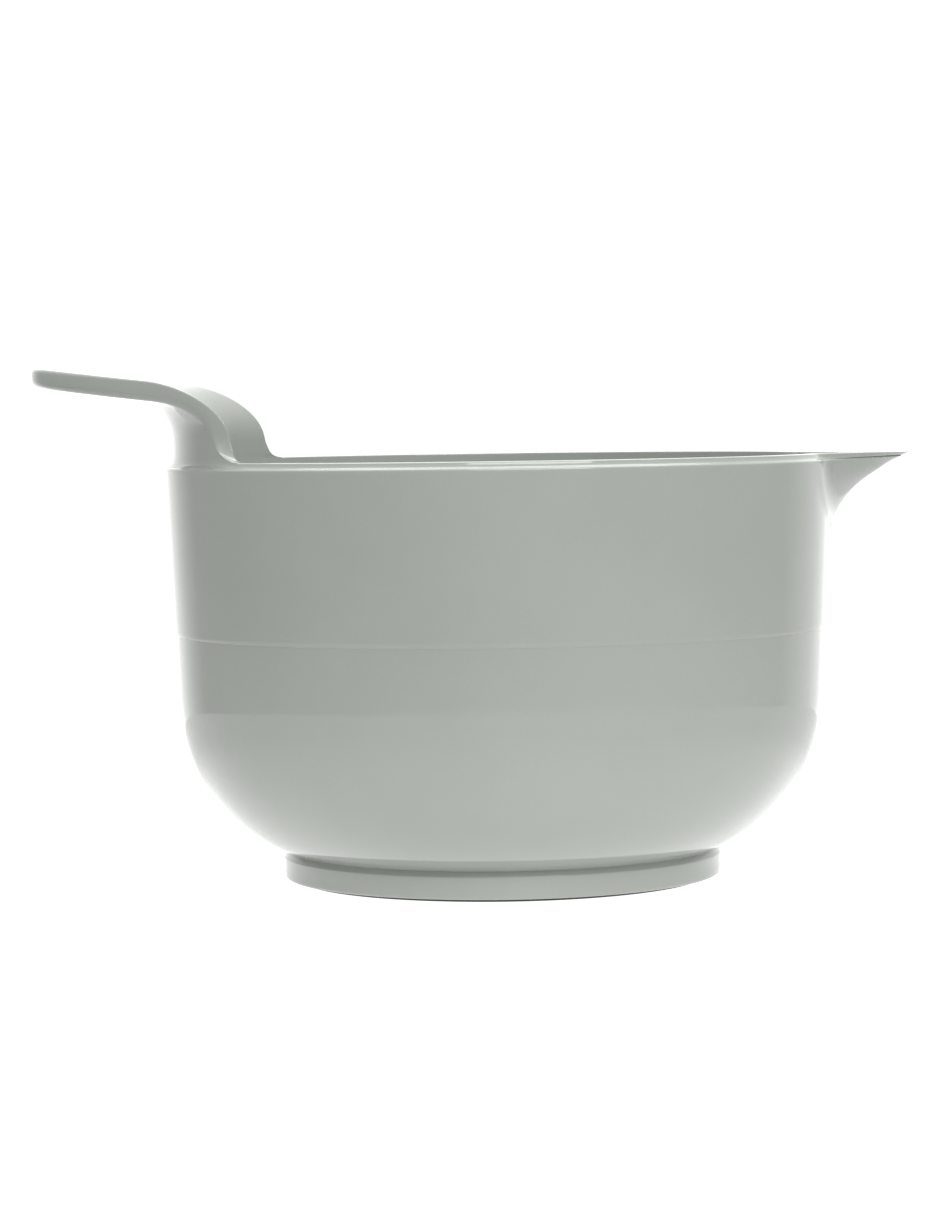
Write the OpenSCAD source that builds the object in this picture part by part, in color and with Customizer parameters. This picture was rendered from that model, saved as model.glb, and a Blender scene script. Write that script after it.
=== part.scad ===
// Batter bowl: one moulded bowl with a lip handle and a pouring beak, standing on a non-slip ring.
// Frame: origin at the centre of the resting plane, +Z up, spout towards +X, handle towards -X.

/* [Bowl] */
// Outside diameter of the wall just below the rim
rim_d = 200; // [170:1:240]
// Height of the rim above the table
rim_h = 126.8; // [118:0.2:150]
// Thickness of the wall where it turns into the bottom
wall_t = 4; // [3:0.1:5]
// Thickness of the wall at the rim, ledge and lip together
rim_t = 5; // [4.4:0.1:6.5]
// Thickness of the floor inside the foot
floor_t = 5.2; // [4:0.1:6]
// Lean of the outer wall, in degrees
wall_draft = 2.4; // [1:0.1:4]
// Height at which the straight wall ends
wall_foot_h = 56.4; // [52:0.2:62]
// Radius of the upper, slower bend below the wall
upper_bend_r = 62; // [56:0.5:68]
// Turn of that upper bend, in degrees
upper_bend_turn = 19.4; // [14:0.2:24]
// Radius of the lower bend that runs into the foot
lower_bend_r = 47.7; // [44:0.1:49]

/* [Rim] */
// Height of the set-back lip above the ledge
lip_h = 1.7; // [1.2:0.1:3]
// Width of the ledge between the wall and the lip
ledge_w = 2.3; // [1.5:0.1:2.6]
// Radius on the small edges of rim and ledge
edge_r = 0.4; // [0.2:0.05:0.6]
// Height of the hollow sweep from the ledge up into the lip and the handle
sweep_h = 4; // [2.5:0.1:6]

/* [Mould step] */
// Height of the step left by the mould on the outer wall
step_h = 75; // [65:0.5:95]
// Depth of that step
step_d = 0.3; // [0.1:0.05:0.8]
// Height of the rolled edge above that step
step_roll_h = 2; // [0.8:0.1:4]

/* [Foot] */
// Outside diameter of the foot
foot_d = 132.4; // [122:0.2:138]
// Height of the neck between the foot's shoulder and the bowl
neck_h = 0.9; // [0.4:0.1:1.6]
// Radial width of the foot
foot_w = 9.8; // [9.2:0.1:11]
// Radius of the foot's shoulder
foot_shoulder_r = 0.9; // [0.5:0.1:1.2]
// Radius of the foot's bottom edge
foot_edge_r = 1.5; // [0.8:0.1:1.8]
// Lean of the foot's outer wall, in degrees
foot_draft = 2; // [0:0.5:4]

/* [Non-slip ring] */
// Distance of the ring's middle from the outside of the foot
ring_inset = 6.2; // [5.8:0.1:6.4]
// Radial width of the ring
ring_w = 4; // [3:0.1:4.6]
// Height of the ring
ring_t = 2.8; // [2:0.1:3.4]
// How far the ring stands below the foot
ring_proud = 1; // [0.5:0.1:1.2]
// Radius of the ring's bottom edges
ring_edge_r = 0.6; // [0.3:0.1:0.8]
// Side clearance of the ring in its groove
ring_clear = 0.1; // [0.05:0.05:0.2]

/* [Handle] */
// Reach of the handle beyond the wall at the rim
handle_reach = 40.3; // [32:0.1:50]
// Width of the handle where it leaves the rim
handle_w = 116.6; // [100:0.2:124]
// Thickness of the grip
handle_t = 5.8; // [5:0.1:7]
// Height above the rim at which the underside starts to bend outwards
bend_rise = 6; // [4:0.1:8]
// Radius of the bend on the underside
bend_under_r = 12; // [10:0.5:16]
// Radius of the bend on the upper side
bend_upper_r = 18.5; // [17:0.5:22]
// Upward slope of the grip, in degrees
grip_slope = 9; // [4:0.5:14]
// Height of the fillet where the handle's edge runs into the rim
root_h = 8; // [5:0.5:11]
// Length of that fillet along the rim
root_len = 13; // [8:0.5:16]
// Rounding of the handle's upper edge
upper_edge_r = 1.1; // [0.6:0.1:1.4]
// Rounding of the handle's lower edge
lower_edge_r = 2.2; // [1.4:0.1:2.6]

/* [Spout] */
// Reach of the spout beyond the wall at the rim
spout_reach = 24.6; // [18:0.2:30]
// Half of the angle that the spout takes up on the rim, in degrees
spout_half_angle = 16.5; // [13:0.5:20]
// Depth of the spout's mouth below the rim
spout_depth = 21.5; // [19:0.5:24]
// Radius of the keel where it leaves the wall
keel_r = 28.5; // [24:0.5:32]
// Slope of the keel towards the tip, in degrees
keel_slope = 33.5; // [28:0.5:38]
// Height of the flatter nose at the end of the keel
nose_h = 2.8; // [1.8:0.1:3.6]
// Slope of that nose, in degrees
nose_slope = 23; // [19:1:27]
// Thickness of the spout's floor, measured upright
spout_t = 2.1; // [1.6:0.1:2.6]
// How much the beak's sides are hollowed in plan
beak_hollow = 1.4; // [1.2:0.05:1.7]
// Rounding of the beak's nose, as a share of its half angle
nose_share = 0.08; // [0.05:0.01:0.15]

/* [Hidden] */
plastic = [0.66, 0.68, 0.65];
rubber = [0.2, 0.2, 0.2];
// Sides of a full turn
smooth_fn = 180;
// Steps along a bend of the outline and along a small rounded edge
arc_steps = 12;
corner_steps = 3;

rim_r = rim_d / 2;
ledge_z = rim_h - lip_h;
rim_in_r = rim_r - rim_t;
lip_out_r = rim_r - ledge_w;
foot_r = foot_d / 2;
foot_in_r = foot_r - foot_w;
foot_z = ring_proud;
ring_r = foot_r - ring_inset;
groove_z = ring_t;

function lerp(a, b, t) = a + (b - a) * t;
// Points on an arc about c, from angle a0 to a1
function arc(c, r, a0, a1, n) =
    [for (i = [0:n]) c + r * [cos(lerp(a0, a1, i / n)), sin(lerp(a0, a1, i / n))]];

// Outer wall: a leaning line, then two bends that run into the foot
function wall_r(z) = rim_r - (ledge_z - z) * tan(wall_draft);
function aim(a) = [cos(a), -sin(a)];
// Share of a quarter ellipse's width that is left at share t of its height
function hollow(t) = 1 - sqrt(1 - pow(1 - min(1, max(0, t)), 2));
// How far the sweep stands out from the lip at height z
function sweep(z) = (ledge_w - edge_r) * hollow((z - ledge_z) / sweep_h);
lip_top_z = rim_h - edge_r;
lip_top_r = lip_out_r + sweep(lip_top_z);
lower_turn = wall_draft + upper_bend_turn;
wall_end = [wall_r(wall_foot_h) - step_d, wall_foot_h];
upper_c = wall_end - upper_bend_r * aim(wall_draft);
lower_c = upper_c + (upper_bend_r - lower_bend_r) * aim(lower_turn);
crease_r = foot_r - foot_shoulder_r;
crease_turn = acos((crease_r - lower_c[0]) / lower_bend_r);
foot_h = lower_c[1] - lower_bend_r * sin(crease_turn) - neck_h - foot_shoulder_r;
floor_z = lower_c[1] - lower_bend_r + wall_t;
under_z = floor_z - floor_t;

// Inner wall, straight from the rim to the bends
inner_end = upper_c + (upper_bend_r - wall_t) * aim(wall_draft);
function inner_r(z) = lerp(inner_end[0], rim_in_r, (z - inner_end[1]) / (rim_h - inner_end[1]));

foot_bottom_r = foot_r - (foot_h - foot_z) * tan(foot_draft);
bowl_outline = concat(
    // Underside and the groove for the ring
    [[0, under_z], [foot_in_r, under_z], [foot_in_r, foot_z]],
    [[ring_r - ring_w / 2 - ring_clear, foot_z], [ring_r - ring_w / 2 - ring_clear, groove_z]],
    [[ring_r + ring_w / 2 + ring_clear, groove_z], [ring_r + ring_w / 2 + ring_clear, foot_z]],
    // Foot
    arc([foot_bottom_r - foot_edge_r, foot_z + foot_edge_r], foot_edge_r, -90, 0, corner_steps),
    arc([crease_r, foot_h], foot_shoulder_r, 0, 90, corner_steps),
    // Bends, wall and the mould's step
    arc(lower_c, lower_bend_r, -crease_turn, -lower_turn, arc_steps),
    arc(upper_c, upper_bend_r, -lower_turn, -wall_draft, arc_steps / 2),
    [for (i = [0:corner_steps])
        let (z = step_h + step_roll_h * pow(i / corner_steps, 2))
        [wall_r(z) - step_d * hollow((z - step_h) / step_roll_h), z]],
    // Ledge and lip
    arc([rim_r - edge_r, ledge_z - edge_r], edge_r, 0, 90, corner_steps),
    [for (i = [1:corner_steps])
        let (z = lerp(ledge_z, lip_top_z, pow(i / (corner_steps + 1), 2)))
        [lip_out_r + sweep(z), z]],
    arc([lip_top_r - edge_r, lip_top_z], edge_r, 0, 90, corner_steps),
    arc([rim_in_r + edge_r, lip_top_z], edge_r, 90, 180, corner_steps),
    // Inside
    arc(upper_c, upper_bend_r - wall_t, -wall_draft, -lower_turn, arc_steps / 2),
    arc(lower_c, lower_bend_r - wall_t, -lower_turn - 90 / arc_steps, -90, arc_steps),
    [[0, floor_z]]
);

// A tube of loops, all with the same count of points, closed at both ends by strips across the loop
module loft(loops) {
    n = len(loops[0]);
    last = len(loops) - 1;
    points = [for (loop = loops) each loop];
    sides = [
        for (i = [0:last - 1], j = [0:n - 1])
            let (a = i * n + j, b = i * n + (j + 1) % n)
            each [[a, a + n, b + n], [a, b + n, b]]
    ];
    function strip(base, flip) = [
        for (k = [0:n / 2 - 2])
            let (a = base + k, b = base + k + 1, c = base + n - 2 - k, d = base + n - 1 - k)
            each flip ? [[a, c, b], [a, d, c]] : [[a, b, c], [a, c, d]]
    ];
    polyhedron(points, concat(sides, strip(0, false), strip(last * n, true)));
}

// Handle: a flared band cut to a tongue in plan, with rounded edges and filleted roots
// Inset of the handle's root from the lip's two faces
root_inset = 0.15;
tip_x = rim_r + handle_reach;
flare_turn = 90 - grip_slope;
under_r0 = lip_out_r - root_inset;
upper_r0 = rim_in_r + root_inset;
upper_shift = upper_r0 - under_r0 + (bend_upper_r - bend_under_r) * (1 - cos(flare_turn));
upper_rise = bend_rise + (bend_under_r - bend_upper_r) * sin(flare_turn)
    + (handle_t + sin(grip_slope) * upper_shift) / cos(grip_slope);
// Depth below the rim at which the handle's edge and its foot end inside the lip
edge_drop = 0.25;
handle_drop = 1;

// Half angle at which the tongue's outline, drawn in by e, crosses radius r
function outline_angle(r, e) =
    let (
        w = handle_w / 2 - e,
        tip = tip_x - e,
        c = pow(w, 2) / (tip - sqrt(pow(rim_in_r, 2) - pow(w, 2))),
        x = (c + sqrt(pow(c, 2) - 4 * (c * tip - pow(r, 2)))) / 2
    ) acos(min(1, x / r));

// Side of the flare at q: 0 to 1 upright, 1 to 2 round the bend, 2 to 3 along the grip to the tip
function flare(under, q, tip, drop) =
    let (
        r0 = under ? under_r0 : upper_r0,
        rho = under ? bend_under_r : bend_upper_r,
        rise = rim_h + (under ? bend_rise : upper_rise),
        turn = flare_turn * min(1, max(0, q - 1)),
        bend = [r0 + rho * (1 - cos(turn)), rise + rho * sin(turn)],
        run = 1 - pow(3 - max(2, q), 2),
        p = q < 1 ? [r0, lerp(rim_h - drop, rise, q)]
            : bend + (tip - bend[0]) * run * [1, tan(grip_slope)]
    ) [p[0] + (under ? sweep(p[1]) : 0), p[1]];

// Fillet that spreads the handle's edge along the rim, as an arc length
function root_spread(z) = root_len * hollow((z - rim_h + edge_drop) / root_h);

function polar(rz, a) = [-rz[0] * cos(a), rz[0] * sin(a), rz[1]];

// Point of the handle's edge at q, on the under or upper side, drawn in by e
function edge_angle(under, q, e) =
    let (p = flare(under, q, tip_x - e, edge_drop))
    outline_angle(p[0], e) + root_spread(p[1]) / p[0] * 180 / PI;
function edge_point(under, q, e) = polar(flare(under, q, tip_x - e, edge_drop), edge_angle(under, q, e));
function bezier(a, b, c, t) = pow(1 - t, 2) * a + 2 * t * (1 - t) * b + pow(t, 2) * c;

// One side's points from the foot of the handle up to its rounded edge
side_steps = 9;
function side_points(under, q, base, e) =
    let (a = edge_angle(under, q, e), foot_a = base * edge_angle(under, 0, e))
    [
        for (k = [0:side_steps])
            let (t = k / side_steps)
            polar(flare(under, q * t, tip_x - e, lerp(handle_drop, edge_drop, t)),
                lerp(foot_a, a, t))
    ];

function handle_loop(q, base) =
    let (
        low = edge_point(true, q, 0),
        high = edge_point(false, q, 0),
        across = (high - low) / norm(high - low),
        low_in = side_points(true, q, base, lower_edge_r),
        high_in = side_points(false, q, base, upper_edge_r)
    ) concat(
        low_in,
        [for (k = [1:corner_steps])
            bezier(low_in[side_steps], low, low + across * lower_edge_r, k / corner_steps)],
        [for (k = [0:corner_steps - 1])
            bezier(high - across * upper_edge_r, high, high_in[side_steps], k / corner_steps)],
        [for (k = [side_steps:-1:0]) high_in[k]]
    );

// Loops along the root, the bend and the grip, and the share of the base's half angle they start from
root_loops = 8;
bend_loops = 10;
grip_loops = 14;
bend_share = 0.88;
grip_share = 0.52;
handle_steps = concat(
    [for (i = [0:root_loops - 1]) [i / root_loops, lerp(1, bend_share, i / root_loops)]],
    [for (i = [0:bend_loops - 1]) [1 + i / bend_loops, lerp(bend_share, grip_share, i / bend_loops)]],
    [for (i = [0:grip_loops]) [2 + i / grip_loops, lerp(grip_share, 0, i / grip_loops)]]
);
function mirror_y(loop) = [for (p = loop) [p[0], -p[1], p[2]]];

module handle() {
    half = [for (s = handle_steps) handle_loop(s[0], s[1])];
    loft(concat([for (loop = half) mirror_y(loop)], [for (i = [len(half) - 2:-1:0]) half[i]]));
}

// Spout: a beak that swells out of the wall along a hollow keel
// Depth to which the spout is set into the wall, and the share of the wall at which its root ends
sink = 0.6;
root_share = 0.2;
spout_x = rim_r + spout_reach;
keel_turn = 90 - keel_slope;
keel_rise = keel_r * sin(keel_turn);
keel_out = keel_r * (1 - cos(keel_turn));
nose_z = rim_h - nose_h;
nose_x = spout_x - nose_h / tan(nose_slope);
keel_x0 = wall_r(nose_z - keel_rise - (nose_x - rim_r - keel_out) * tan(keel_slope)) - sink / 2;
keel_top_z = nose_z - (nose_x - keel_x0 - keel_out) * tan(keel_slope);
keel_z = keel_top_z - keel_rise;

// How far out the keel stands at height z: round its foot, up the slope and along the nose
function keel_x(z) =
    let (up = min(keel_rise, max(0, z - keel_z)))
    keel_x0 + keel_r - sqrt(pow(keel_r, 2) - pow(up, 2))
        + max(0, min(z, nose_z) - keel_top_z) / tan(keel_slope)
        + max(0, z - nose_z) / tan(nose_slope);

// Half angle of the beak at height z, as a round-bottomed mouth
least_angle = 2.5;
function beak_angle(z) =
    max(least_angle, spout_half_angle * sqrt(max(0, 1 - pow((rim_h - z) / spout_depth, 2))));

// Share of the beak's reach at v, from 0 at the nose to 1 where it meets the wall
nose_span = sqrt(1 + pow(nose_share, 2)) - nose_share;
function beak(v) =
    pow(1 - (sqrt(pow(v, 2) + pow(nose_share, 2)) - nose_share) / nose_span, beak_hollow);

// Points from one side of the beak to the other, crowded towards the nose
beak_steps = 12;
nose_crowd = 1.4;
beak_shares = [for (i = [-beak_steps:beak_steps]) sign(i) * pow(abs(i) / beak_steps, nose_crowd)];

// Loop at height z, lifted towards the nose, between a beak from radius r0 and an arc of radius back
function beak_loop(z, r0, reach, back, half_angle, lift = 0) =
    let (levels = [for (v = beak_shares) z + lift * beak(abs(v))])
    concat(
        [for (i = [0:2 * beak_steps])
            let (v = beak_shares[i], r = lerp(r0, reach(levels[i]), beak(abs(v))))
            radial(r, v * half_angle, levels[i])],
        [for (i = [2 * beak_steps:-1:0]) radial(back, beak_shares[i] * half_angle, levels[i])]
    );
function radial(r, a, z) = [r * cos(a), r * sin(a), z];

// The lip's band along the beak stands back from the tip by this much, and narrows to it by this share
lip_tip_inset = 0.5;
lip_taper = 0.45;
spout_levels = 14;
function spout_root_r(z) = lerp(inner_r(z), wall_r(z), root_share);

module spout_outside() {
    low = keel_z - sink;
    band_lift = lip_h * lip_taper;
    body = [
        for (i = [0:spout_levels])
            let (z = lerp(low, ledge_z, i / spout_levels), lift = i == spout_levels ? band_lift : 0)
            beak_loop(z, wall_r(z) - sink, function (z) keel_x(z), spout_root_r(z), beak_angle(z), lift)
    ];
    lip = [
        for (z = [ledge_z, rim_h])
            beak_loop(z, lip_out_r - sink, function (z) keel_x(z) - lip_tip_inset,
                spout_root_r(z), beak_angle(z), z == ledge_z ? band_lift : 0)
    ];
    loft(concat(body, lip));
}

// The pouring channel: it leaves the inner wall at the keel's foot and thins the spout towards the tip
channel_z = keel_z + spout_t;
function channel_x(z) =
    keel_x(z - spout_t) - lerp(rim_t, sink, (z - channel_z) / (rim_h - channel_z));
// How far the cut reaches into the bowl and above the rim
mouth_over = 1;

module spout_channel() {
    loft([
        for (i = [0:spout_levels])
            let (z = lerp(channel_z, rim_h + mouth_over, i / spout_levels), r = inner_r(z) - sink)
            beak_loop(z, r, function (z) channel_x(z), r - mouth_over, beak_angle(min(rim_h, z) - spout_t))
    ]);
}

module bowl_body() {
    color(plastic)
    difference() {
        union() {
            rotate_extrude($fn = smooth_fn) polygon(bowl_outline);
            handle();
            spout_outside();
        }
        spout_channel();
    }
}

ring_outline = concat(
    [[ring_r - ring_w / 2, ring_t]],
    arc([ring_r - ring_w / 2 + ring_edge_r, ring_edge_r], ring_edge_r, 180, 270, corner_steps),
    arc([ring_r + ring_w / 2 - ring_edge_r, ring_edge_r], ring_edge_r, 270, 360, corner_steps),
    [[ring_r + ring_w / 2, ring_t]]
);

module nonslip_ring() {
    color(rubber)
    rotate_extrude($fn = smooth_fn) polygon(ring_outline);
}

bowl_body();
nonslip_ring();
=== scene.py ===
import math

import bpy
import numpy as np
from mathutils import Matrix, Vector


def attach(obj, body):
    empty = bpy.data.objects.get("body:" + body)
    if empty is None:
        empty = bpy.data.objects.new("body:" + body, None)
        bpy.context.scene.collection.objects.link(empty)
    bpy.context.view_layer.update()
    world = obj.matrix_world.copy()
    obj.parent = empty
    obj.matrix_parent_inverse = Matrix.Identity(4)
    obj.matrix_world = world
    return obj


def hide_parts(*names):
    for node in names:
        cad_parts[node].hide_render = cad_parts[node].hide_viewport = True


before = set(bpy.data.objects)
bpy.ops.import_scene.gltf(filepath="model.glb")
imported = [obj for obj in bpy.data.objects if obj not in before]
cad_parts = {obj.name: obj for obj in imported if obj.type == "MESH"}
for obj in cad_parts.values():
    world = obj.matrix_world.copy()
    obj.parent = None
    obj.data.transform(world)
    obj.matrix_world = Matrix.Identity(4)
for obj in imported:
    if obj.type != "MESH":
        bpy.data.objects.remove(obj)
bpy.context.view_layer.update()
mm = 0.001
sharpAngle = math.radians(38)  # faces that meet at more than this keep a crisp edge
print("frame loaded:", ", ".join(sorted(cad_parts)))


# small helpers for sections, lengths in millimetres and angles in radians

def lerp(a, b, t):
    return a + (b - a) * t


def ease(t):
    t = np.clip(t, 0, 1)
    return t * t * (3 - 2 * t)


def down(turn):  # direction that leans below the level by turn
    return np.array([math.cos(turn), -math.sin(turn)])


def arc(centre, radius, start, end, steps):
    turns = np.radians(np.linspace(start, end, steps + 1))
    return np.stack([centre[0] + radius * np.cos(turns), centre[1] + radius * np.sin(turns)], 1)


def hollow(t):  # share of a quarter ellipse's width that is left at share t of its height
    return 1 - np.sqrt(1 - (1 - np.clip(t, 0, 1)) ** 2)


def softMax(a, b, blend):  # the larger of two, with a fillet where they meet
    near = np.maximum(blend - np.abs(a - b), 0) / blend
    return np.maximum(a, b) + near ** 2 * blend / 4


def respace(path, count, cut):  # even points along a path whose last stretch is cut off
    along = np.concatenate([[0], np.cumsum(np.linalg.norm(np.diff(path, axis=0), axis=1))])
    wanted = np.linspace(0, along[-1] - cut, count)
    return np.stack([np.interp(wanted, along, path[:, k]) for k in range(3)], 1)


def roundCorner(start, corner, end, steps):
    t = np.linspace(0, 1, steps + 1)[:, None]
    return (1 - t) ** 2 * start + 2 * t * (1 - t) * corner + t ** 2 * end


def makePiece(name, grid, poles):  # grid is rows by columns by xyz, closed round the columns
    rows, columns = grid.shape[:2]
    points = grid.reshape(-1, 3) * mm
    following = np.roll(np.arange(columns), -1)
    faces = []
    for i in range(rows - 1 if poles else rows):
        a, b = i * columns, (i + 1) % rows * columns
        for j, k in enumerate(following):
            if poles and i == 0:
                faces.append((0, b + k, b + j))
            elif poles and i == rows - 2:
                faces.append((a + j, a + k, b))
            else:
                faces.append((a + j, a + k, b + k, b + j))
    mesh = bpy.data.meshes.new(name)
    mesh.from_pydata(points.tolist(), [], [tuple(map(int, f)) for f in faces])
    if poles:  # the points left over at the two poles
        used = np.zeros(len(points), bool)
        used[[v for f in faces for v in f]] = True
        keep = np.cumsum(used) - 1
        mesh.clear_geometry()
        mesh.from_pydata(points[used].tolist(), [], [tuple(int(keep[v]) for v in f) for f in faces])
    mesh.shade_smooth()
    mesh.set_sharp_from_angle(angle=sharpAngle)
    piece = bpy.data.objects.new(name, mesh)
    bpy.context.scene.collection.objects.link(piece)
    return piece


# bowl: a leaning wall, two bends, a foot, and a lip set back from the wall

bowl = {
    "rimRadius": 100, "rimHeight": 126.8, "wall": 4, "rimWall": 5, "floor": 5.2,
    "draft": 2.4, "wallFoot": 56.4, "upperBend": 62, "upperTurn": 19.4, "lowerBend": 47.7,
    "lipHeight": 1.7, "ledge": 2.3, "edge": 0.4, "ledgeEdge": 0.8, "sweep": 4,
    "stepHeight": 75, "stepDepth": 0.3, "stepRoll": 2,
    "footRadius": 66.2, "footWidth": 9.8, "neck": 0.9, "shoulder": 0.9, "footEdge": 1,
    "footDraft": 3, "ringInset": 6.2, "ringWidth": 4, "ringHeight": 2.8, "proud": 1,
    "ringEdge": 0.6, "ringClear": 0.1,
}
draft = math.radians(bowl["draft"])
rimRadius, rimHeight = bowl["rimRadius"], bowl["rimHeight"]
ledgeHeight = rimHeight - bowl["lipHeight"]
lipRadius = rimRadius - bowl["ledge"]
innerRim = rimRadius - bowl["rimWall"]


def wallRadius(z):
    return rimRadius - (ledgeHeight - z) * math.tan(draft)


def sweep(z, ledge):  # how far the hollow sweep above a ledge stands out from the lip
    return (bowl["ledge"] - bowl["ledgeEdge"]) * hollow((z - ledge) / bowl["sweep"])


lowerTurn = draft + math.radians(bowl["upperTurn"])
wallEnd = np.array([wallRadius(bowl["wallFoot"]) - bowl["stepDepth"], bowl["wallFoot"]])
upperCentre = wallEnd - bowl["upperBend"] * down(draft)
lowerCentre = upperCentre + (bowl["upperBend"] - bowl["lowerBend"]) * down(lowerTurn)
innerEnd = upperCentre + (bowl["upperBend"] - bowl["wall"]) * down(draft)
floorHeight = lowerCentre[1] - bowl["lowerBend"] + bowl["wall"]
underHeight = floorHeight - bowl["floor"]
creaseRadius = bowl["footRadius"] - bowl["shoulder"]
creaseTurn = math.acos((creaseRadius - lowerCentre[0]) / bowl["lowerBend"])
creaseHeight = lowerCentre[1] - bowl["lowerBend"] * math.sin(creaseTurn)
shoulderHeight = creaseHeight - bowl["neck"] - bowl["shoulder"]


def innerRadius(z):
    return lerp(innerEnd[0], innerRim, (z - innerEnd[1]) / (rimHeight - innerEnd[1]))


# spout: a beak that swells out of the wall along a hollow keel

spout = {
    "reach": 24.6, "halfAngle": 16.5, "depth": 21.5, "keelRadius": 28.5, "keelSlope": 33.5,
    "noseHeight": 2.8, "noseSlope": 23, "skin": 2.1, "hollow": 1.4, "nose": 0.08, "sink": 0.6,
    "leastAngle": 2.5, "lipInset": 0.5, "lipTaper": 0.45, "fillet": 2.2, "innerFillet": 1.8,
    "fade": 9, "fadePower": 1.5, "start": 88, "underSlope": 0.2, "leastStep": 0.02,
}
keelSlope, noseSlope = math.radians(spout["keelSlope"]), math.radians(spout["noseSlope"])
keelTurn = math.pi / 2 - keelSlope
keelRise = spout["keelRadius"] * math.sin(keelTurn)
keelOut = spout["keelRadius"] * (1 - math.cos(keelTurn))
noseFoot = rimHeight - spout["noseHeight"]
noseStart = rimRadius + spout["reach"] - spout["noseHeight"] / math.tan(noseSlope)
keelGuess = noseFoot - keelRise - (noseStart - rimRadius - keelOut) * math.tan(keelSlope)
keelStart = wallRadius(keelGuess) - spout["sink"] / 2
keelTop = noseFoot - (noseStart - keelStart - keelOut) * math.tan(keelSlope)
keelFoot = keelTop - keelRise
channelFoot = keelFoot + spout["skin"]


def keelReach(z):  # round the keel's foot, up its slope and along the nose
    rise = np.clip(z - keelFoot, 0, keelRise)
    straight = np.maximum(0, np.minimum(z, noseFoot) - keelTop) / math.tan(keelSlope)
    nose = np.maximum(0, z - noseFoot) / math.tan(noseSlope)
    below = np.minimum(0, z - keelFoot) * spout["underSlope"]
    bend = spout["keelRadius"] - np.sqrt(spout["keelRadius"] ** 2 - rise ** 2)
    return keelStart + bend + straight + nose + below


def beakHalf(z):
    share = np.maximum(0, 1 - ((rimHeight - z) / spout["depth"]) ** 2)
    return np.radians(np.maximum(spout["leastAngle"], spout["halfAngle"] * np.sqrt(share)))


def beakShare(v):  # from 1 at the nose to 0 where the beak meets the wall
    nose = spout["nose"]
    span = math.sqrt(1 + nose ** 2) - nose
    return np.clip(1 - (np.sqrt(v ** 2 + nose ** 2) - nose) / span, 0, 1) ** spout["hollow"]


def beak(angle, base, reach, half):
    v = np.abs(angle) / half
    return base + (reach - base) * beakShare(v) - spout["fade"] * np.maximum(0, v - 1) ** spout["fadePower"]


def ledgeLevel(angle):  # the ledge climbs along the beak until the lip ends at the nose
    climb = bowl["lipHeight"] * spout["lipTaper"]
    return ledgeHeight + climb * beakShare(np.abs(angle) / beakHalf(ledgeHeight))


def outerRadius(angle, z):
    wall = wallRadius(z)
    swell = beak(angle, wall - spout["sink"], keelReach(z), beakHalf(z))
    return np.where(z > spout["start"], softMax(wall, swell, spout["fillet"]), wall + 0 * angle)


def lipOuter(angle, z):
    ledge = ledgeLevel(angle)
    taper = (rimHeight - ledge) / bowl["lipHeight"]
    swell = beak(angle, lipRadius - spout["sink"], keelReach(z) - spout["lipInset"] * taper, beakHalf(z))
    lip = softMax(lipRadius, swell, spout["fillet"]) + sweep(z, ledge) * taper
    return np.minimum(lip, outerRadius(angle, z) - bowl["ledgeEdge"] * taper - spout["leastStep"])


def innerSide(angle, z):
    plain = innerRadius(z)
    thin = (z - channelFoot) / (rimHeight - channelFoot)
    reach = keelReach(z - spout["skin"]) - lerp(bowl["rimWall"], spout["sink"], thin)
    swell = beak(angle, plain - spout["sink"], reach, beakHalf(z - spout["skin"]))
    return softMax(plain, swell, spout["innerFillet"]) if z > spout["start"] else plain + 0 * angle


# handle: a flared band cut to a tongue in plan, with rounded edges and filleted roots

handle = {
    "reach": 40.3, "width": 116.6, "thickness": 5.8, "bendRise": 6, "underBend": 12,
    "upperBend": 18.5, "slope": 9, "rootHeight": 8, "rootLength": 13,
    "upperEdge": (1.1, 1.2, 2.2), "lowerEdge": (2.4, 2.6, 2.6),  # at the bend, the grip and the tip
    "rootColumns": 16, "bendColumns": 16, "gripColumns": 24, "pathPoints": 60,
    "rootShares": (1, 0.88, 0.52, 0),  # shares of the root's half angle at which the flare's stages start
}
gripSlope = math.radians(handle["slope"])
flareTurn = math.pi / 2 - gripSlope
tipRadius = rimRadius + handle["reach"]
upperShift = innerRim - lipRadius + (handle["upperBend"] - handle["underBend"]) * (1 - math.cos(flareTurn))
upperRise = (handle["bendRise"] + (handle["underBend"] - handle["upperBend"]) * math.sin(flareTurn)
             + (handle["thickness"] + math.sin(gripSlope) * upperShift) / math.cos(gripSlope))


def outlineAngle(r):  # half angle at which the tongue's outline crosses radius r
    w = handle["width"] / 2
    c = w ** 2 / (tipRadius - math.sqrt(innerRim ** 2 - w ** 2))
    x = (c + math.sqrt(c ** 2 - 4 * (c * tipRadius - r ** 2))) / 2
    return math.acos(min(1, x / r))


def flare(under, q):  # 0 to 1 upright, 1 to 2 round the bend, 2 to 3 along the grip
    r = lipRadius if under else innerRim
    bend = handle["underBend"] if under else handle["upperBend"]
    rise = handle["bendRise"] if under else upperRise
    if q < 1:
        z = rimHeight + rise * q
        return r + (sweep(z, ledgeHeight) if under else 0), z
    turn = flareTurn * min(1, q - 1)
    r, z = r + bend * (1 - math.cos(turn)), rimHeight + rise + bend * math.sin(turn)
    run = (tipRadius - r) * (1 - (3 - max(2, q)) ** 2)
    return r + run, z + run * math.tan(gripSlope)


def edgeAngle(under, q):
    r, z = flare(under, q)
    return outlineAngle(r) + handle["rootLength"] * hollow((z - rimHeight) / handle["rootHeight"]) / r


rootAngle = edgeAngle(True, 0)
rootSlip = rootAngle - edgeAngle(False, 0)


def baseShare(q):
    return np.interp(q, [0, 1, 2, 3], handle["rootShares"])


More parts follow.
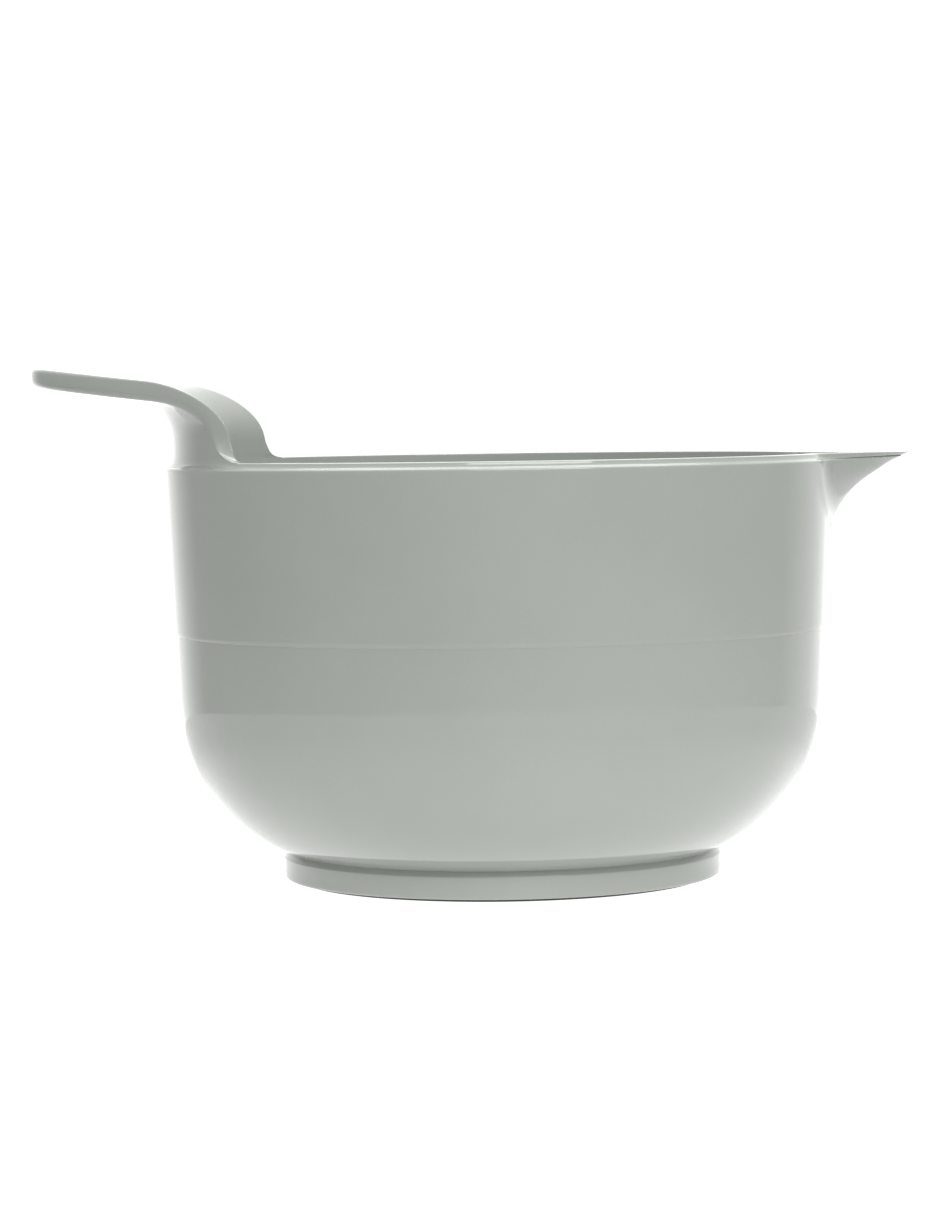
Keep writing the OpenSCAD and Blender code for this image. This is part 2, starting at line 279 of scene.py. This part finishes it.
def flarePath(under, q):  # from the rim up to the edge of the handle at q
    slip = 0 if under else rootSlip * max(0, 1 - q) ** 2
    path = []
    for t in np.linspace(0, 1, handle["pathPoints"]):
        r, z = flare(under, q * t)
        a = lerp(baseShare(q) * rootAngle, edgeAngle(under, q) + slip, t)
        path.append((-r * math.cos(a), r * math.sin(a), z))
    return np.array(path)


# columns of half the bowl, from the middle of the spout to the middle of the handle

spacing = {"nose": 0.15, "noseEnd": 2.4, "beak": 0.4, "beakEnd": 20, "plain": 2, "ring": 2}  # degrees
noseEnd, beakEnd = spacing["noseEnd"], spacing["beakEnd"]
spoutColumns = np.radians(np.concatenate([
    np.arange(0, noseEnd, spacing["nose"]), np.arange(noseEnd, beakEnd, spacing["beak"])]))
handleSteps = np.concatenate([
    np.linspace(0, 1, handle["rootColumns"], endpoint=False) ** 2,
    1 + np.linspace(0, 1, handle["bendColumns"], endpoint=False),
    2 + np.linspace(0, 1, handle["gripColumns"] + 1),
])
handleColumns = math.pi - baseShare(handleSteps) * rootAngle
plainCount = math.ceil((handleColumns[0] - math.radians(beakEnd)) / math.radians(spacing["plain"]))
plainColumns = np.linspace(math.radians(beakEnd), handleColumns[0], plainCount, endpoint=False)
columns = np.concatenate([spoutColumns, plainColumns, handleColumns])
steps = np.concatenate([np.full(len(spoutColumns) + len(plainColumns), -1.0), handleSteps])


def turned(radius, z):  # one row of points at the columns' angles
    radius = radius + 0 * columns
    return np.stack([radius * np.cos(columns), radius * np.sin(columns), z + 0 * columns], 1)


crown = {"sidePoints": 22, "cornerSteps": 5, "lipPoints": 12, "innerPoints": 8, "innerDrop": 2}


def crownPoints(angle, q):  # over the lip, or up and round the handle and down inside
    def at(radius, z):
        return np.array([radius * math.cos(angle), radius * math.sin(angle), z])

    lipLevels = lerp(ledgeLevel(angle), rimHeight, np.linspace(0, 1, crown["lipPoints"]) ** 2)
    outer = np.array([at(lipOuter(angle, z), z) for z in lipLevels])
    innerLevels = np.linspace(rimHeight - crown["innerDrop"], rimHeight, crown["innerPoints"])
    inner = np.array([at(innerSide(angle, z), z) for z in innerLevels])
    lowEdge = upEdge = bowl["edge"]
    if q > 0:
        outer = np.concatenate([outer[:-1], flarePath(True, q)])
        inner = np.concatenate([inner[:-1], flarePath(False, q)])
        lowEdge = np.interp(q, [1, 2, 3], handle["lowerEdge"])
        upEdge = np.interp(q, [1, 2, 3], handle["upperEdge"])
        lowEdge, upEdge = (lerp(bowl["edge"], e, ease(q)) for e in (lowEdge, upEdge))
    across = inner[-1] - outer[-1]
    across = across / np.linalg.norm(across)
    low = respace(outer, crown["sidePoints"], lowEdge)
    up = respace(inner, crown["sidePoints"], upEdge)
    lowCorner = roundCorner(low[-1], outer[-1], outer[-1] + across * lowEdge, crown["cornerSteps"])
    upCorner = roundCorner(inner[-1] - across * upEdge, inner[-1], up[-1], crown["cornerSteps"])
    middle = (lowCorner[-1:] + upCorner[:1]) / 2
    return np.concatenate([low[:-1], lowCorner, middle, upCorner, up[-2::-1]])


ringRadius = bowl["footRadius"] - bowl["ringInset"]
grooveIn = ringRadius - bowl["ringWidth"] / 2 - bowl["ringClear"]
grooveOut = ringRadius + bowl["ringWidth"] / 2 + bowl["ringClear"]
footInner = bowl["footRadius"] - bowl["footWidth"]
footBottom = bowl["footRadius"] - (shoulderHeight - bowl["proud"]) * math.tan(math.radians(bowl["footDraft"]))
softEdge = 0.3  # small rounding on the foot's hidden edges
recess = {"edge": 0.8, "flatGap": 1.2}
spoutRows = 42  # rows over the spout's height, outside and inside
straightRows = {"belowStep": (62, 68, 73), "stepGap": 0.15, "aboveStep": (79, 84), "inside": (80, 72, 64)}
footLine = np.concatenate([
    [[r, underHeight] for r in np.linspace(0, footInner - recess["flatGap"], 8)],
    arc((footInner - recess["edge"], underHeight - recess["edge"]), recess["edge"], 90, 0, 4),
    arc((footInner + softEdge, bowl["proud"] + softEdge), softEdge, 180, 270, 3),
    arc((grooveIn - softEdge, bowl["proud"] + softEdge), softEdge, 270, 360, 3),
    [[grooveIn, bowl["ringHeight"]], [grooveOut, bowl["ringHeight"]]],
    arc((grooveOut + softEdge, bowl["proud"] + softEdge), softEdge, 180, 270, 3),
    arc((footBottom - bowl["footEdge"], bowl["proud"] + bowl["footEdge"]), bowl["footEdge"], 270, 360, 7),
    arc((creaseRadius, shoulderHeight), bowl["shoulder"], 0, 30, 4),
])
bendLine = np.concatenate([
    arc(lowerCentre, bowl["lowerBend"], -math.degrees(creaseTurn), -math.degrees(lowerTurn), 30),
    arc(upperCentre, bowl["upperBend"], -math.degrees(lowerTurn), -bowl["draft"], 14)[1:],
    [[wallRadius(z) - bowl["stepDepth"], z]
     for z in (*straightRows["belowStep"], bowl["stepHeight"] - straightRows["stepGap"])],
    [[wallRadius(bowl["stepHeight"] + bowl["stepRoll"] * t) - bowl["stepDepth"] * hollow(t),
      bowl["stepHeight"] + bowl["stepRoll"] * t] for t in np.linspace(0, 1, 9) ** 2],
])
ledgeTurns = np.radians(np.linspace(0, 90, 6))[1:]
insideLevels = np.linspace(rimHeight - crown["innerDrop"], spout["start"], spoutRows)[1:]
insideLine = np.concatenate([
    [[innerRadius(z), z] for z in straightRows["inside"]],
    arc(upperCentre, bowl["upperBend"] - bowl["wall"], -bowl["draft"], -math.degrees(lowerTurn), 12),
    arc(lowerCentre, bowl["lowerBend"] - bowl["wall"], -math.degrees(lowerTurn), -90, 30)[1:],
    [[r, floorHeight] for r in np.linspace(lowerCentre[0], 0, 7)[1:]],
])
ledgeEdge = bowl["ledgeEdge"] * (rimHeight - ledgeLevel(columns)) / bowl["lipHeight"]
ledgeStart = ledgeLevel(columns) - ledgeEdge
ledgeOuter = outerRadius(columns, ledgeStart)
rows = [turned(r, z) for r, z in np.concatenate([footLine, bendLine])]
rows += [turned(wallRadius(z), z) for z in straightRows["aboveStep"]]
wallLevels = [lerp(spout["start"], ledgeStart, t) for t in np.linspace(0, 1, spoutRows)]
rows += [turned(outerRadius(columns, z), z) for z in wallLevels]
rows += [turned(ledgeOuter - ledgeEdge * (1 - math.cos(t)), ledgeStart + ledgeEdge * math.sin(t))
         for t in ledgeTurns]
rows += list(np.stack([crownPoints(a, q) for a, q in zip(columns, steps)], 1))
rows += [turned(innerSide(columns, z), z) for z in insideLevels]
rows += [turned(r, z) for r, z in insideLine]
half = np.stack(rows)
bowlGrid = np.concatenate([half, half[:, -2:0:-1] * [1, -1, 1]], 1)
bowlPiece = makePiece("bowl", bowlGrid, poles=True)
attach(bowlPiece, "root")
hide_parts("bowl_body")
print("bowl:", len(bowlPiece.data.polygons), "faces")

# non-slip ring in the groove under the foot

ringIn, ringOut = ringRadius - bowl["ringWidth"] / 2, ringRadius + bowl["ringWidth"] / 2
ringEdge = bowl["ringEdge"]
ringLine = np.concatenate([
    arc((ringIn + ringEdge, ringEdge), ringEdge, 180, 270, 6),
    arc((ringOut - ringEdge, ringEdge), ringEdge, 270, 360, 6),
    arc((ringOut - softEdge, bowl["ringHeight"] - softEdge), softEdge, 0, 90, 3),
    arc((ringIn + softEdge, bowl["ringHeight"] - softEdge), softEdge, 90, 180, 3),
])
turns = np.radians(np.arange(0, 360, spacing["ring"]))
ringGrid = np.stack([np.stack([r * np.cos(turns), r * np.sin(turns), z + 0 * turns], 1) for r, z in ringLine])
ringPiece = makePiece("non-slip_ring", ringGrid, poles=False)
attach(ringPiece, "root")
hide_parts("nonslip_ring")
print("ring:", len(ringPiece.data.polygons), "faces")


# materials

class Wire:  # a node's output that can be used in sums
    def __init__(self, tree, socket):
        self.tree, self.socket = tree, socket

    def maths(self, operation, first, second):
        return self.tree.node("Math", {"operation": operation}, {0: first, 1: second})

    def __add__(self, other):
        return self.maths("ADD", self, other)

    def __radd__(self, other):
        return self.maths("ADD", other, self)

    def __sub__(self, other):
        return self.maths("SUBTRACT", self, other)

    def __rsub__(self, other):
        return self.maths("SUBTRACT", other, self)

    def __mul__(self, other):
        return self.maths("MULTIPLY", self, other)

    def __rmul__(self, other):
        return self.maths("MULTIPLY", other, self)


class Tree:
    def __init__(self, owner):
        owner.use_nodes = True
        self.nodes, self.links = owner.node_tree.nodes, owner.node_tree.links
        self.nodes.clear()

    def node(self, kind, settings=None, sockets=None, result=0):
        made = self.nodes.new("ShaderNode" + kind)
        for name, value in (settings or {}).items():
            if name == "stops":
                elements = made.color_ramp.elements
                while len(elements) < len(value):
                    elements.new(1)
                for element, (place, colour) in zip(elements, value):
                    element.position, element.color = place, colour
            else:
                setattr(made, name, value)
        for name, value in (sockets or {}).items():
            socket = next(s for i, s in enumerate(made.inputs) if name in (i, s.identifier, s.name))
            if isinstance(value, Wire):
                self.links.new(value.socket, socket)
            else:
                socket.default_value = value
        found = [s for i, s in enumerate(made.outputs) if result in (i, s.identifier, s.name)]
        return Wire(self, found[0]) if found else None


def spread(tree, value, low, high, newLow, newHigh):  # a value's range moved to another, with soft ends
    return tree.node("MapRange", {"interpolation_type": "SMOOTHSTEP"},
                     {"Value": value, "From Min": low, "From Max": high, "To Min": newLow, "To Max": newHigh})


plastic = {
    "light": (0.255, 0.273, 0.25, 1), "dark": (0.242, 0.259, 0.237, 1),
    "roughness": 0.045, "smudge": 0.04, "hairline": 0.06, "ior": 1.5, "peel": 0.015, "peelDepth": 0.0004,
    "cloudScale": 14.0, "grainScale": 1400.0, "peelScale": 160.0,
    "hairScale": (30.0, 420.0, 60.0), "hairTurn": (0.2, 0.35, 0.5), "grainShare": 0.2,
    "toneRange": (0.35, 0.65), "smudgeRange": (0.45, 0.75), "hairRange": (0.66, 0.74),
}


def makePlastic():
    material = bpy.data.materials.new("moulded_plastic")
    tree = Tree(material)
    place = tree.node("TexCoord", result="Object")
    cloud = tree.node("TexNoise", {}, {
        "Vector": place, "Scale": plastic["cloudScale"], "Detail": 3.0, "Roughness": 0.55})
    grain = tree.node("TexNoise", {}, {"Vector": place, "Scale": plastic["grainScale"], "Detail": 1.0})
    peel = tree.node("TexNoise", {}, {
        "Vector": place, "Scale": plastic["peelScale"], "Detail": 2.0, "Roughness": 0.4})
    wiped = tree.node("Mapping", {}, {
        "Vector": place, "Rotation": plastic["hairTurn"], "Scale": plastic["hairScale"]})
    hair = tree.node("TexNoise", {}, {"Vector": wiped, "Scale": 1.0, "Detail": 2.0})
    mixed = cloud * (1 - plastic["grainShare"]) + grain * plastic["grainShare"]
    tone = spread(tree, mixed, *plastic["toneRange"], 0.0, 1.0)
    colour = tree.node("Mix", {"data_type": "RGBA"},
                       {"Factor_Float": tone, "A_Color": plastic["dark"], "B_Color": plastic["light"]},
                       "Result_Color")
    smudge = spread(tree, cloud, *plastic["smudgeRange"], 0.0, plastic["smudge"])
    hairline = spread(tree, hair, *plastic["hairRange"], 0.0, plastic["hairline"])
    bump = tree.node("Bump", {}, {
        "Strength": plastic["peel"], "Distance": plastic["peelDepth"], "Height": peel})
    shader = tree.node("BsdfPrincipled", {}, {
        "Base Color": colour, "Roughness": smudge + hairline + plastic["roughness"],
        "IOR": plastic["ior"], "Normal": bump})
    tree.node("OutputMaterial", {}, {"Surface": shader})
    return material


rubber = {
    "light": (0.035, 0.035, 0.036, 1), "dark": (0.018, 0.018, 0.019, 1), "roughness": 0.62, "dusty": 0.2,
    "dustScale": 220.0, "dustRange": (0.4, 0.7), "gritScale": 2600.0, "grit": 0.25, "gritDepth": 0.0002,
}


def makeRubber():
    material = bpy.data.materials.new("dark_rubber")
    tree = Tree(material)
    place = tree.node("TexCoord", result="Object")
    dust = tree.node("TexNoise", {}, {"Vector": place, "Scale": rubber["dustScale"], "Detail": 4.0})
    grit = tree.node("TexNoise", {}, {"Vector": place, "Scale": rubber["gritScale"], "Detail": 2.0})
    colour = tree.node("Mix", {"data_type": "RGBA"},
                       {"Factor_Float": spread(tree, dust, *rubber["dustRange"], 0.0, 1.0),
                        "A_Color": rubber["dark"], "B_Color": rubber["light"]}, "Result_Color")
    bump = tree.node("Bump", {}, {
        "Strength": rubber["grit"], "Distance": rubber["gritDepth"], "Height": grit})
    shader = tree.node("BsdfPrincipled", {}, {
        "Base Color": colour, "Normal": bump,
        "Roughness": dust * rubber["dusty"] + (rubber["roughness"] - rubber["dusty"] / 2)})
    tree.node("OutputMaterial", {}, {"Surface": shader})
    return material


bowlPiece.data.materials.append(makePlastic())
ringPiece.data.materials.append(makeRubber())
print("materials set")

# studio: a pale floor, a softly lit room that is brightest behind the bowl, and two soft boxes

studio = {
    "floorRadius": 0.42, "floorSides": 128, "floorColour": (0.5, 0.5, 0.5, 1), "floorRoughness": 0.7,
    "backdrop": 1.05,  # what the camera sees beyond the floor
    "poolGlow": 1.05, "floorGlow": 0.1, "poolEdge": (0.07, 0.25),  # the floor glows most under the bowl
    # glow of the room by degrees from the camera's side, positive to the right
    "walls": [(-180, 2.6), (-148, 1.9), (-128, 0.8), (-50, 0.6), (0, 1), (60, 1.2), (118, 0.9), (126, 1.3),
              (180, 2.6)],
    "ceiling": 1.4, "ceilingStart": 0.2, "ceilingFull": 0.7,
}


def makeWorld():
    world = bpy.data.worlds.new("studio")
    bpy.context.scene.world = world
    tree = Tree(world)
    place = tree.node("TexCoord", result="Generated")
    x, y, z = (tree.node("SeparateXYZ", {}, {"Vector": place}, axis) for axis in "XYZ")
    turn = tree.node("Math", {"operation": "ARCTAN2"}, {0: x, 1: 0 - y}) * (0.5 / math.pi) + 0.5
    most = max(glow for degrees, glow in studio["walls"])
    stops = [(degrees / 360 + 0.5, (glow / most,) * 3 + (1,)) for degrees, glow in studio["walls"]]
    walls = tree.node("ValToRGB", {"stops": stops}, {"Fac": turn}) * most
    up = spread(tree, z, studio["ceilingStart"], studio["ceilingFull"], 0.0, 1.0)
    room = tree.node("Background", {}, {"Strength": walls * (1 - up) + up * studio["ceiling"]})
    plain = tree.node("Background", {}, {"Color": (1, 1, 1, 1), "Strength": studio["backdrop"]})
    seen = tree.node("LightPath", result="Is Camera Ray")
    shader = tree.node("MixShader", {}, {"Fac": seen, 1: room, 2: plain})
    tree.node("OutputWorld", {}, {"Surface": shader})


def makeFloor():
    sides, radius = studio["floorSides"], studio["floorRadius"]
    turns = [2 * math.pi * i / sides for i in range(sides)]
    mesh = bpy.data.meshes.new("floor")
    corners = [(radius * math.cos(t), radius * math.sin(t), 0) for t in turns]
    mesh.from_pydata(corners, [], [tuple(range(sides))])
    floor = bpy.data.objects.new("floor", mesh)
    bpy.context.scene.collection.objects.link(floor)
    material = bpy.data.materials.new("pale_floor")
    tree = Tree(material)
    place = tree.node("TexCoord", result="Object")
    away = tree.node("VectorMath", {"operation": "LENGTH"}, {0: place}, "Value")
    pool = spread(tree, away, *studio["poolEdge"], studio["poolGlow"], studio["floorGlow"])
    shader = tree.node("BsdfPrincipled", {}, {
        "Base Color": studio["floorColour"], "Roughness": studio["floorRoughness"],
        "Emission Color": pool, "Emission Strength": 1})
    tree.node("OutputMaterial", {}, {"Surface": shader})
    mesh.materials.append(material)


softBoxes = {
    "overhead": {"at": (0, 0.3, 1.5), "size": (1.6, 1.2), "power": 26},
    "key": {"at": (0.3, -1.2, 1), "size": (1, 0.6), "power": 14},
}
lightAim = Vector((0, 0, 0.07))  # about half way up the bowl


def makeLights():
    for name, box in softBoxes.items():
        light = bpy.data.lights.new(name, "AREA")
        light.shape = "RECTANGLE"
        light.size, light.size_y = box["size"]
        light.energy = box["power"]
        lamp = bpy.data.objects.new(name, light)
        lamp.location = box["at"]
        towards = lightAim - lamp.location
        lamp.rotation_euler = towards.to_track_quat("-Z", "Y").to_euler()
        bpy.context.scene.collection.objects.link(lamp)


view = {
    "distance": 1.14595, "height": 0.14167, "turn": 1.4, "pitch": 3.008, "yaw": 0.4, "roll": 0.802,
    "focal": 3801.1, "imageHeight": 1215, "sensor": 36,
}


def makeCamera():
    camera = bpy.data.cameras.new("camera")
    camera.sensor_width = view["sensor"]
    camera.lens = view["sensor"] * view["focal"] / view["imageHeight"]
    eye = bpy.data.objects.new("camera", camera)
    turn = math.radians(view["turn"])
    eye.location = (view["distance"] * math.sin(turn), -view["distance"] * math.cos(turn), view["height"])
    eye.rotation_euler = (math.radians(90 - view["pitch"]), math.radians(view["roll"]),
                          math.radians(view["turn"] + view["yaw"]))
    bpy.context.scene.collection.objects.link(eye)
    bpy.context.scene.camera = eye


makeFloor()
makeWorld()
makeLights()
makeCamera()
bpy.context.scene.view_settings.view_transform = "Standard"
print("studio set")
